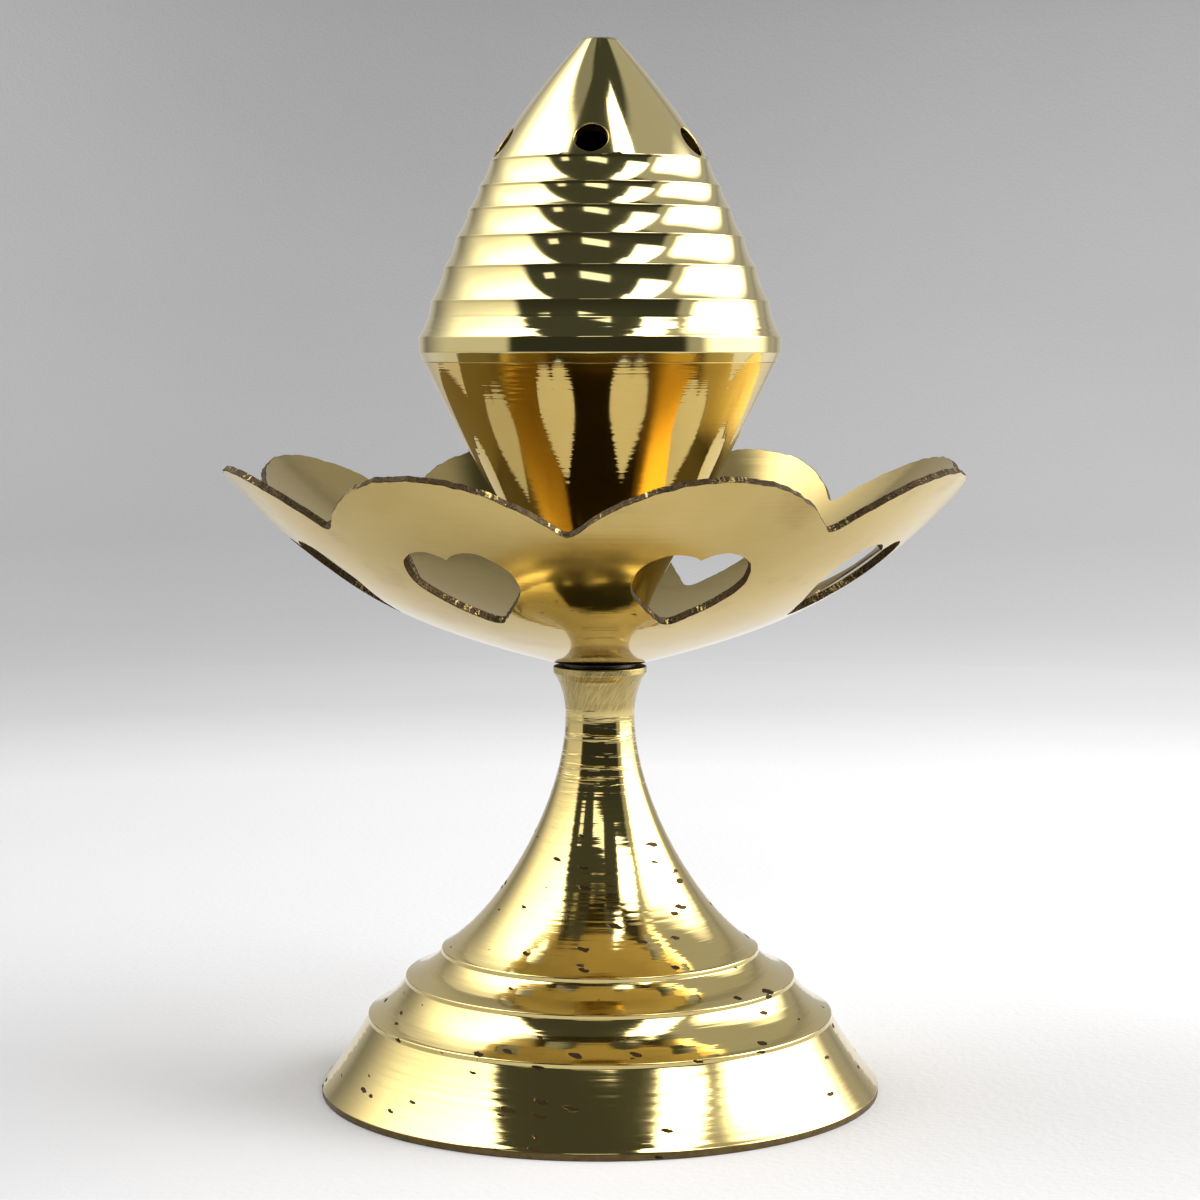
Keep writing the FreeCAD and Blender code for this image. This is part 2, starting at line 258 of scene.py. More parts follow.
def add_object(name, vertices, faces, materials):
    mesh = bpy.data.meshes.new(name)
    mesh.from_pydata(vertices, [], faces)
    mesh.polygons.foreach_set("use_smooth", np.ones(len(faces), bool))
    for material in materials:
        mesh.materials.append(material)
    made = bpy.data.objects.new(name, mesh)
    bpy.context.scene.collection.objects.link(made)
    return made


class Skin:
    """Vertices, normals and faces of one piece, gathered and then made into a mesh."""

    def __init__(self):
        self.places, self.normals, self.along, self.dull = [], [], [], []
        self.faces, self.slots, self.count = [], [], 0

    def add(self, places, normals, along, dull=0.0):
        places = np.asarray(places, float).reshape(-1, 3)
        first = self.count
        self.places.append(places)
        self.normals.append(np.asarray(normals, float).reshape(-1, 3))
        for layer, values in ((self.along, along), (self.dull, dull)):
            layer.append(np.broadcast_to(values, len(places)).astype(float))
        self.count += len(places)
        return np.arange(first, self.count)

    def face(self, corners, slot=0, over=False):
        """One face; over turns it to face the other way."""
        corners = tuple(int(corner) for corner in corners)
        self.faces.append(corners[::-1] if over else corners)
        self.slots.append(slot)

    def strip(self, lower, upper, slot=0, over=False):
        """Faces between two closed loops with as many points each, lower first as seen from outside."""
        for j in range(len(lower)):
            k = (j + 1) % len(lower)
            self.face((lower[j], lower[k], upper[k], upper[j]), slot, over)

    def refine(self, lower, upper, over):
        """Faces from a closed loop to one with twice as many points."""
        for j in range(len(lower)):
            k = (j + 1) % len(lower)
            a, b, c = upper[2 * j], upper[2 * j + 1], upper[(2 * j + 2) % len(upper)]
            for corners in ((lower[j], lower[k], b), (lower[j], b, a), (lower[k], c, b)):
                self.face(corners, 0, over)

    def all_places(self):
        return np.vstack(self.places)

    def make(self, name, materials, node, body, slot):
        piece = add_object(name, (self.all_places() * MM).tolist(), self.faces, materials)
        mesh = piece.data
        mesh.polygons.foreach_set("material_index", np.array(self.slots, np.int32))
        for label, values in (("along", self.along), ("dull", self.dull)):
            layer = mesh.attributes.new(label, "FLOAT", "POINT")
            layer.data.foreach_set("value", np.concatenate(values).astype(np.float32))
        mesh.update()
        mesh.normals_split_custom_set_from_vertices(unit(np.vstack(self.normals)).tolist())
        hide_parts(node)
        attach(piece, body)


def polar(radius, angle):
    return radius * np.cos(angle), radius * np.sin(angle)


def block_border(first, last, span):
    """The (row, column) places round a block of a grid, in order."""
    border = [(first, column) for column in span] + [(row, span[-1]) for row in range(first + 1, last)]
    border += [(last, column) for column in span[::-1]]
    return border + [(row, span[0]) for row in range(last - 1, first, -1)]


def ring(radius, height, normal):
    """Places and normals round one row of a turned piece."""
    angle = np.arange(COLUMNS) * 2 * math.pi / COLUMNS - math.pi / 2
    return [np.stack([*polar(out, angle), np.full(COLUMNS, up)], axis=1)
            for out, up in ((radius, height), normal)]


def turned(line, shade_and_dull_of, closed=False, skip=None):
    """The skin of a turned piece and the points of each row. The row function gives each row's painted shade
    and dullness, skip which (row, column) faces to leave out."""
    places, normals, along = line
    skin, rows = Skin(), []
    for (radius, height), normal, length in zip(places, normals, along):
        dull = shade_and_dull_of(radius, height, normal)
        if radius < 1e-6:
            rows.append(skin.add([[0, 0, height]], [[0, 0, normal[1]]], length, dull))
        else:
            rows.append(skin.add(*ring(radius, height, normal), length, dull))
    pairs = list(zip(range(len(rows) - 1), range(1, len(rows))))
    if closed:
        pairs.append((len(rows) - 1, 0))
    for here, after in pairs:
        lower, upper = rows[here], rows[after]
        for j in range(COLUMNS):
            k = (j + 1) % COLUMNS
            if skip and skip(here, j):
                continue
            if len(lower) == 1:
                skin.face((lower[0], upper[k], upper[j]))
            elif len(upper) == 1:
                skin.face((lower[j], lower[k], upper[0]))
            else:
                skin.face((lower[j], lower[k], upper[k], upper[j]))
    return skin, rows


# Painted shade and dullness of each row, from 0 for polished to 1 for black, most of it in hollows and gaps.

def pedestal_shade_and_dull(radius, height, normal):
    # painted shade on the collar's top, in the gap under the dish
    if height > COLLAR_TOP - 0.05:
        return 1.0 if radius < COLLAR_RADIUS - 0.1 else 0.6
    # painted shade on the foot's low rim, which is also duller
    if height < FOOT_RIM_HEIGHT and normal[0] > 0.5:
        return 0.88
    # painted shade inside the hollow foot, underneath it and down the tapped hole
    return 0.0 if normal[0] > 0.2 else 0.85


def cup_shade_and_dull(radius, height, normal):
    # painted shade under the cup's foot, where it sits on the dish
    if height < DISH_FLOOR + 0.05:
        return 0.9
    # painted shade on the inward faces; the top face at the seam stays polished
    return 0.0 if normal[0] > 0.2 or height > SEAM_HEIGHT - 0.1 else 0.6


def lid_shade_and_dull(radius, height, normal):
    # the flat top is darker and duller
    if height > OVERALL_HEIGHT - 0.12:
        return 0.7
    # painted shade on the spigot and underside, where the lid sits in the cup
    if height < SEAM_HEIGHT + 0.05:
        return 0.35
    # painted shade on the inward faces, inside the lid
    return 0.0 if normal[0] > 0.2 else 0.95


def pedestal_line():
    rim_top = (FOOT_RADIUS, FOOT_RIM_HEIGHT)
    skirt_top = (CREASES[0][0], CREASES[0][1] - LAND)
    lip_foot = (COLLAR_RADIUS, COLLAR_TOP - COLLAR_LIP)
    collar_edge = (COLLAR_RADIUS, COLLAR_TOP)
    hollow_mouth = (FOOT_RADIUS - FOOT_WALL, 0)
    hollow_skirt, hollow_step = ((radius - FOOT_WALL, height - FOOT_WALL)
                                 for radius, height in (CREASES[0], CREASES[-1]))
    tapped_mouth, tapped_end = (TAPPED_RADIUS, COLLAR_TOP), COLLAR_TOP - TAPPED_DEPTH
    coarse = 1.2
    runs = [
        (straight((0, HOLLOW_END[1]), HOLLOW_END), SHARP),
        (bezier(HOLLOW_END, HOLLOW_LEAN[1], HOLLOW_LEAN[0], hollow_step, step=coarse), SOFT),
        (straight(hollow_step, hollow_skirt, coarse), SOFT),
        (bowed(hollow_skirt, hollow_mouth, -SKIRT_SAG, coarse), SOFT),
        *walls(hollow_mouth, ((FOOT_RADIUS, 0), CRISP), (rim_top, CRISP)),
        (rippled(bowed(rim_top, skirt_top, SKIRT_SAG, 0.2), 1.3, 0.012, np.random.RandomState(SEED)), SHARP),
        (straight(skirt_top, CREASES[0]), CRISP),
        *coves(CREASES, FOOT_COVE_SHARE, LAND, CRISP),
        (bezier(CREASES[-1], *FLARE_LEAN, WAIST, step=0.35), 0),
        (grooved(bezier(WAIST, *COLLAR_LEAN, lip_foot, step=0.15), (COLLAR_TOP - 1.6,), 0.16, 0.05), SHARP),
        *walls(lip_foot, (collar_edge, CRISP), (tapped_mouth, CRISP)),
        *walls(tapped_mouth, ((TAPPED_RADIUS, tapped_end), SHARP), ((0, tapped_end), 0), step=coarse),
    ]
    return profile(runs)


def cup_line():
    foot_edge = (CUP_FOOT_RADIUS, DISH_FLOOR)
    foot_top = (CUP_FOOT_RADIUS, DISH_FLOOR + CUP_FOOT_HEIGHT)
    slope = (SEAM_RADIUS - CUP_NECK[0]) / (SEAM_HEIGHT - CUP_NECK[1])
    across = CUP_WALL * math.hypot(1, slope)

    def inner(height):
        return (CUP_NECK[0] + (height - CUP_NECK[1]) * slope - across, height)

    ledge = SEAM_HEIGHT - MOUTH_DEPTH
    kerb = inner(CUP_FLOOR + CUP_FLOOR_KERB)
    seam = (SEAM_RADIUS, SEAM_HEIGHT)
    hole_foot, hole_top = (SCREW_HOLE_RADIUS, DISH_FLOOR), (SCREW_HOLE_RADIUS, CUP_FLOOR)
    coarse = 0.8
    runs = [
        *walls(hole_foot, (foot_edge, CRISP), (foot_top, SHARP)),
        (bezier(foot_top, *CUP_LEAN, CUP_NECK), 0),
        (bowed(CUP_NECK, seam, -CUP_BELLY, 0.3), SHARP),
        *walls(seam, ((MOUTH_RADIUS, SEAM_HEIGHT), CRISP), ((MOUTH_RADIUS, ledge), SHARP),
               (inner(ledge), CRISP)),
        (straight(inner(ledge), kerb, coarse), SOFT),
        *walls(kerb, ((kerb[0], CUP_FLOOR), SOFT), (hole_top, CRISP)),
        (straight(hole_top, hole_foot, coarse), CRISP),
    ]
    return profile(runs, closed=True)


def lid_line():
    shoulder = LID_STEPS[-1]
    tip = (TIP_RADIUS, OVERALL_HEIGHT)
    band_foot, band_top = (LID_RADIUS, LID_BAND[0]), (LID_RADIUS, LID_BAND[1])
    spigot_outer = MOUTH_RADIUS - SPIGOT_CLEARANCE
    spigot_inner = spigot_outer - SPIGOT_WALL
    spigot_foot = SEAM_HEIGHT - SPIGOT_DEPTH
    seam = (SEAM_RADIUS, SEAM_HEIGHT)
    hollow_band = (LID_RADIUS - LID_WALL - LID_CORNER_EXTRA, LID_BAND[1])
    hollow_shoulder = (shoulder[0] - LID_WALL - LID_CORNER_EXTRA, shoulder[1])
    hollow_tip = (HOLLOW_TIP_RADIUS, OVERALL_HEIGHT - TIP_METAL)
    ledge = SEAM_HEIGHT + LID_WALL
    land_foot = (LID_STEPS[0][0], LID_STEPS[0][1] - LID_LAND)
    first_cove = bowed(band_top, land_foot, LID_COVE_SHARE * math.dist(band_top, LID_STEPS[0]), 0.14)
    runs = [
        (straight((0, hollow_tip[1]), hollow_tip, 0.8), SOFT),
        (bowed(hollow_tip, hollow_shoulder, HOLLOW_SWELL), SOFT),
        (bowed(hollow_shoulder, hollow_band, HOLLOW_SWELL, 0.9), SOFT),
        *walls(hollow_band, ((spigot_inner, ledge), SOFT), ((spigot_inner, spigot_foot), CRISP),
               ((spigot_outer, spigot_foot), CRISP), ((spigot_outer, SEAM_HEIGHT), SHARP),
               (seam, SHARP), (band_foot, CRISP), (band_top, CRISP)),
        (grooved(first_cove, LID_SCORES, 0.12, 0.025), SHARP),
        (straight(land_foot, LID_STEPS[0]), SHARP),
        *coves(LID_STEPS, LID_COVE_SHARE, LID_LAND, SHARP),
        (bowed(shoulder, tip, -CONE_SWELL), SHARP),
        (straight(tip, (0, OVERALL_HEIGHT)), 0),
    ]
    return profile(runs)


# ---- the lid's smoke holes ----

def lid_skin():
    """The turned lid with its smoke holes drilled square to the cone."""
    places, normals, along = line = lid_line()
    shoulder = LID_STEPS[-1]
    climb = math.atan2(shoulder[0] - TIP_RADIUS, OVERALL_HEIGHT - shoulder[1])
    share = (SMOKE_HOLE_HEIGHT - shoulder[1]) / (OVERALL_HEIGHT - shoulder[1])
    entry_radius = shoulder[0] + (TIP_RADIUS - shoulder[0]) * share
    outside = [i for i in range(len(places)) if normals[i][0] > 0.5 and places[i][1] > shoulder[1] + 0.2]
    inside = [i for i in range(len(places)) if normals[i][0] < -0.3 and places[i][1] > shoulder[1] - 4.5]
    wall_across = 1.5
    block_rows, lead = 18, 12       # each hole's block is 18 rows high and 12 columns to either side

    def nearest(rows, height):
        return min(rows, key=lambda i: abs(places[i][1] - height))

    inner_height = SMOKE_HOLE_HEIGHT - wall_across * math.sin(climb)
    blocks = [(nearest(side, height) - block_rows // 2, side)
              for side, height in ((outside, SMOKE_HOLE_HEIGHT), (inside, inner_height))]
    centres = [COLUMNS * number // SMOKE_HOLES for number in range(SMOKE_HOLES)]

    def in_block(row, column):
        if not any(first <= row < first + block_rows for first, _ in blocks):
            return False
        return any((column - centre + lead) % COLUMNS < 2 * lead for centre in centres)

    skin, rows = turned(line, lid_shade_and_dull, skip=in_block)
    made = skin.all_places()

    def on_surface(points, side, drill):
        """Those points slid along the drill onto the outside or the inside, with the normals there."""
        order = np.array(side)[np.argsort(places[side][:, 1])]
        radii, heights = places[order].T
        points = points.copy()
        for _ in range(12):
            miss = np.hypot(points[:, 0], points[:, 1]) - np.interp(points[:, 2], heights, radii)
            points -= np.outer(miss * math.cos(climb), drill)
        out_r, out_z = (np.interp(points[:, 2], heights, part) for part in normals[order].T)
        return points, np.column_stack([unit(points[:, :2]) * out_r[:, None], out_z])

    edge_break = 0.16
    for centre in centres:
        angle = -math.pi / 2 + 2 * math.pi * centre / COLUMNS
        drill = np.array([*polar(math.cos(climb), angle), math.sin(climb)])
        across = np.array([-math.sin(angle), math.cos(angle), 0])
        upward = np.cross(drill, across)
        entry = np.array([*polar(entry_radius, angle), SMOKE_HOLE_HEIGHT])
        loops, depths, turns = [], [], []
        for first, side in blocks:
            span = [(centre - lead + k) % COLUMNS for k in range(2 * lead + 1)]
            last = first + block_rows
            previous = np.array([rows[r][c] for r, c in block_border(first, last, span)])
            flat = made[previous] - entry
            a, b = flat @ across, flat @ upward
            order = np.argsort(np.arctan2(b, a))
            previous, a, b = previous[order], a[order], b[order]
            turn = np.arctan2(b, a)
            length = float(np.mean(along[first:last]))
            outwards = side is outside
            grow = SMOKE_HOLE_RADIUS + edge_break
            for t in (0.72, 0.45, 0.22, 0.08, 0):
                pa = a * t + grow * np.cos(turn) * (1 - t)
                pb = b * t + grow * np.sin(turn) * (1 - t)
                points = entry + np.outer(pa, across) + np.outer(pb, upward)
                if not outwards:
                    points -= drill * wall_across
                points, facing = on_surface(points, side, drill)
                # painted shade on the lid's inside round each hole
                loop = skin.add(points, facing, length, 0.0 if outwards else 0.95)
                way = -1 if outwards else 1
                skin.strip(loop[::way], previous[::way])
                previous = loop
            loops.append(previous)
            depths.append((points - entry) @ drill)
            turns.append(turn)
        start, end = depths[0] - edge_break, depths[1] + edge_break
        previous = loops[0]
        for t in (-1, 0, 0.25, 0.5, 0.75, 1, 2):
            s = min(max(t, 0), 1)
            turn = turns[0] * (1 - s) + turns[1] * s
            rim = np.outer(np.cos(turn), across) + np.outer(np.sin(turn), upward)
            depth, bulge, facing = start * (1 - s) + end * s, 0.0, -rim
            if t == -1:
                depth, bulge, facing = start + edge_break * 0.72, 0.28, drill - rim
            if t == 2:
                depth, bulge, facing = end - edge_break * 0.72, 0.28, -drill - rim
            spot = entry + rim * (SMOKE_HOLE_RADIUS + bulge * edge_break) + np.outer(depth, drill)
            # painted shade that deepens into each smoke hole
            loop = skin.add(spot, facing, depth * 3, 0.75 * s)
            skin.strip(loop[::-1], previous[::-1], 1)
            previous = loop
        skin.strip(loops[1][::-1], previous[::-1], 1)
    return skin


# ---- the dish ----

def petal_reach(offset):
    """Radius of the dish's outline at an angle from a petal's middle."""
    half = math.pi / PETALS
    arc_radius = PETAL_TIP_RADIUS - PETAL_ARC_AT
    apart = arc_radius + NOTCH_ROUNDING
    notch_at = PETAL_ARC_AT * math.cos(half) + math.sqrt(apart ** 2 - (PETAL_ARC_AT * math.sin(half)) ** 2)
    meeting = np.array([notch_at * math.cos(half) - PETAL_ARC_AT, notch_at * math.sin(half)])
    meeting *= arc_radius / apart
    meeting_angle = math.atan2(meeting[1], meeting[0] + PETAL_ARC_AT)
    petal = PETAL_ARC_AT * np.cos(offset) + np.sqrt(arc_radius ** 2 - (PETAL_ARC_AT * np.sin(offset)) ** 2)
    aside = half - np.abs(offset)
    rounding = NOTCH_ROUNDING ** 2 - (notch_at * np.sin(aside)) ** 2
    notch = notch_at * np.cos(aside) - np.sqrt(np.maximum(rounding, 0))
    return np.where(np.abs(offset) < meeting_angle, petal, notch)


def heart_outline(points=720):
    """Closed outline of the heart in a petal's own frame, as (along the radius, across)."""
    reach = math.hypot(HEART_LOBE_AT - HEART_POINT_AT, HEART_LOBE_OFFSET)
    lean = math.atan2(HEART_LOBE_OFFSET, HEART_LOBE_AT - HEART_POINT_AT)
    spread = lean + math.asin(HEART_LOBE_RADIUS / reach)
    flank_end = math.sqrt(reach ** 2 - HEART_LOBE_RADIUS ** 2)
    flank_start = HEART_POINT_ROUNDING / math.tan(spread)
    rounding_at = HEART_POINT_AT + HEART_POINT_ROUNDING / math.sin(spread)
    cleft = HEART_LOBE_AT + math.sqrt(HEART_LOBE_RADIUS ** 2 - HEART_LOBE_OFFSET ** 2)
    from_angle = math.atan2(-HEART_LOBE_OFFSET, cleft - HEART_LOBE_AT)
    arc = np.linspace(from_angle, spread + math.pi / 2, points // 3)
    lobe = np.stack(polar(HEART_LOBE_RADIUS, arc), axis=1) + [HEART_LOBE_AT, HEART_LOBE_OFFSET]
    slope = np.array([math.cos(spread), math.sin(spread)])
    apex = np.array([HEART_POINT_AT, 0])
    flank = straight(apex + slope * flank_end, apex + slope * flank_start, 0.08)
    arc = np.linspace(spread + math.pi / 2, math.pi, points // 12)
    point = np.stack(polar(HEART_POINT_ROUNDING, arc), axis=1) + [rounding_at, 0]
    half = np.vstack([lobe, flank[1:], point[1:]])
    return np.vstack([half, (half[1:-1] * [1, -1])[::-1]])


def saw_marks(count, length, rng, amount):
    """Uneven steps left by a piercing saw, at each of count places round a closed cut of that length."""
    made = np.zeros(count)
    for period, size in ((3.1, 0.5), (1.25, 1.0), (0.62, 0.55)):
        waves = max(3, int(length / period))
        knots = rng.uniform(-1, 1, waves)
        spots = np.arange(count) * waves / count
        made += size * np.interp(spots, np.arange(waves + 1), np.append(knots, knots[0]))
    return made * amount


class Bowl:
    """The dish's underside and the square offset from it, by plan radius."""

    def __init__(self):
        flat = straight((SCREW_HOLE_RADIUS, DISH_UNDERSIDE), (DISH_SEAT_RADIUS - 0.5, DISH_UNDERSIDE), 0.1)
        curve = bezier((DISH_SEAT_RADIUS, DISH_UNDERSIDE), *DISH_CURVE, step=0.05)
        bend_end = curve[np.searchsorted(curve[:, 0], DISH_SEAT_RADIUS + 0.5)]
        t = np.linspace(0, 1, 24)[1:, None]
        bend = (1 - t) ** 2 * flat[-1] + 2 * (1 - t) * t * curve[0] + t ** 2 * bend_end
        line = np.vstack([flat, bend, curve[curve[:, 0] > bend_end[0] + 1e-6]])
        self.radius, self.height = line[:, 0], line[:, 1]
        slope = np.pad(np.gradient(self.height, self.radius), 8, mode="edge")
        self.slope = np.convolve(slope, np.ones(17) / 17, mode="valid")

    def at(self, x, y, depth):
        """Places at a depth into the sheet from its underside, and the sheet's upward normal there."""
        radius = np.hypot(x, y)
        slope = np.interp(radius, self.radius, self.slope)
        up = 1 / np.sqrt(1 + slope ** 2)
        normal = np.stack([x / radius * -slope * up, y / radius * -slope * up, up], axis=1)
        base = np.stack([x, y, np.interp(radius, self.radius, self.height)], axis=1)
        return base + normal * depth, normal


def dish_skin():
    """The sheet dish: a grid over its plan on both faces, hearts let into it, and sawn walls."""
    rng = np.random.RandomState(SEED)
    bowl, skin = Bowl(), Skin()
    per_petal = 96                          # middle columns of the grid to a petal
    middle, fine = PETALS * per_petal, PETALS * per_petal * 2
    heart_columns, heart_rows = 60, 32      # size of the block that a heart is let into
    heart_from, heart_share = 24.2, 0.70    # its inner radius, and how far it goes toward the rim
    heart_centre = 32.4
    edge_break = 0.08
    saw_depth = 0.085
    step_angle = 2 * math.pi / PETALS
    fine_angle = np.arange(fine) * 2 * math.pi / fine - math.pi / 2
    offset = (fine_angle + math.pi / 2) % step_angle - step_angle / 2
    reach = petal_reach(offset)
    marks = saw_marks(fine, float(np.sum(reach) * 2 * math.pi / fine * 1.15), rng, saw_depth)
    reach = reach - saw_depth * 2 + np.minimum(marks, saw_depth * 2)
    smooth_reach = reach - edge_break
    even = petal_reach(offset[::2])
    coarse_angle, middle_angle = fine_angle[::4], fine_angle[::2]

    outline = heart_outline()
    heart_angle = np.arctan2(outline[:, 1], outline[:, 0] - heart_centre)
    heart_reach = np.hypot(outline[:, 1], outline[:, 0] - heart_centre)
    order = np.argsort(heart_angle)
    heart_angle, heart_reach = heart_angle[order], heart_reach[order]
    edges, heart_marks, cuts = {}, [], []
    first_column = [number * per_petal + per_petal // 2 - heart_columns // 2 for number in range(PETALS)]

    def in_heart(column):
        return any((column - first) % middle < heart_columns for first in first_column)

    def rotated(turn, x, y):
        """Plan points turned about the axis."""
        return x * math.cos(turn) - y * math.sin(turn), x * math.sin(turn) + y * math.cos(turn)

    for top in (False, True):
        depth = DISH_THICKNESS if top else 0.0
        sign = 1 if top else -1

        def lay(radius, angle):
            px, py = polar(radius, angle)
            spots, normal = bowl.at(px, py, depth)
            # painted shade under the dish, where it sits on the collar
            seat_shade = 0.0 if top else 0.95 * (np.asarray(radius) < COLLAR_RADIUS)
            return skin.add(spots, normal * sign, radius, seat_shade)

        inner_radii = np.concatenate([
            [SCREW_HOLE_RADIUS + edge_break],
            np.linspace(2.8, DISH_SEAT_RADIUS + 0.9, 12),
            np.linspace(DISH_SEAT_RADIUS + 1.5, heart_from - 1.2, 19),
        ])
        rows = [lay(np.full(len(coarse_angle), radius), coarse_angle) for radius in inner_radii]
        for lower, upper in zip(rows, rows[1:]):
            skin.strip(lower, upper, over=top)
        edges[top, "hole"] = rows[0]
        last_coarse = rows[-1]
        shares = np.concatenate([np.linspace(0, heart_share, heart_rows + 1),
                                 np.linspace(heart_share, 0.9, 6)[1:]])
        rows, plans = [], []
        for share in shares:
            target = even if share < heart_share else smooth_reach[::2]
            radius = heart_from + (target - heart_from) * share
            rows.append(lay(radius, middle_angle))
            # The heart's blocks start from the petals' even outline all the way out.
            radius = heart_from + (even - heart_from) * share
            plans.append(np.stack(polar(radius, middle_angle), axis=1))
        skin.refine(last_coarse, rows[0], top)
        for index, (lower, upper) in enumerate(zip(rows, rows[1:])):
            for j in range(middle):
                k = (j + 1) % middle
                if index >= heart_rows or not in_heart(j):
                    skin.face((lower[j], lower[k], upper[k], upper[j]), over=top)
        outer = [lay(heart_from + (smooth_reach - heart_from) * share, fine_angle)
                 for share in (0.94, 0.975, 1.0)]
        skin.refine(rows[-1], outer[0], top)
        for lower, upper in zip(outer, outer[1:]):
            skin.strip(lower, upper, over=top)
        edges[top, "rim"] = outer[-1]

        for number, first in enumerate(first_column):
            span = [(first + k) % middle for k in range(heart_columns + 1)]
            border = block_border(0, heart_rows, span)
            plan = np.array([plans[r][c] for r, c in border])
            turn = -math.pi / 2 + step_angle * (number + 0.5)
            radial, across = rotated(-turn, *plan.T)
            radial -= heart_centre
            direction = np.arctan2(across, radial)
            if not top:
                heart_marks.append(saw_marks(len(border), HEART_CUT_LENGTH, rng, saw_depth))
            base = np.interp(direction, heart_angle, heart_reach, period=2 * math.pi)
            cut_reach = base + heart_marks[number] + saw_depth
            previous = [rows[r][c] for r, c in border]
            for t in (0.8, 0.58, 0.38, 0.22, 0.1, 0.03, 0):
                grow = (cut_reach + edge_break) * (1 - t)
                px, py = rotated(turn, heart_centre + radial * t + grow * np.cos(direction),
                                 across * t + grow * np.sin(direction))
                spots, normal = bowl.at(px, py, depth)
                loop = skin.add(spots, normal * sign, np.hypot(px, py))
                skin.strip(previous, loop, over=top)
                previous = loop
            edges[top, number] = previous
            if not top:
                cuts.append(rotated(turn, heart_centre + cut_reach * np.cos(direction),
                                    cut_reach * np.sin(direction)))

    def wall(under_loop, top_loop, px, py, rough, inward=False):
        """The sawn wall between the two faces, along the plan points px, py."""
        plan = np.stack([px, py], axis=1)
        along = np.roll(plan, -1, axis=0) - np.roll(plan, 1, axis=0)
        length = np.hypot(*along.T)
        side = along / length[:, None]
        out = np.stack([side[:, 1], -side[:, 0]], axis=1) * (-1 if inward else 1)
        run = distances(plan)
        previous = under_loop
        for share in (0.09, 0.36, 0.64, 0.91):
            stray = rng.uniform(-1, 1, len(px)) * rough
            spots, normal = bowl.at(*(plan - out * np.abs(stray)[:, None]).T, share * DISH_THICKNESS)
            tilt = np.roll(stray, -1) - np.roll(stray, 1)
            level = out + side * (tilt / length)[:, None]
            lean = np.sum(level * normal[:, :2], axis=1)
            facing = np.column_stack([level, np.zeros(len(px))]) - normal * lean[:, None]
            loop = skin.add(spots, facing, run, dull=1.0)
            skin.strip(previous, loop, 1, inward)
            previous = loop
        skin.strip(previous, top_loop, 1, inward)

    wall(edges[False, "rim"], edges[True, "rim"], *polar(reach, fine_angle), SAW_STRAY)
    for number in range(PETALS):
        wall(edges[False, number], edges[True, number], *cuts[number], SAW_STRAY)
    wall(edges[False, "hole"], edges[True, "hole"], *polar(SCREW_HOLE_RADIUS, coarse_angle), 0.0, inward=True)
    return skin


# ---- materials ----

def arithmetic(operation):
    return lambda wire, *others: wire.graph.math(operation, wire, *others)


class Wire:
    """A value in a node tree, for plain arithmetic."""

    def __init__(self, graph, socket):
        self.graph, self.socket = graph, socket

    __add__, __sub__ = arithmetic("ADD"), arithmetic("SUBTRACT")
    __mul__, __truediv__ = arithmetic("MULTIPLY"), arithmetic("DIVIDE")
    __abs__ = arithmetic("ABSOLUTE")


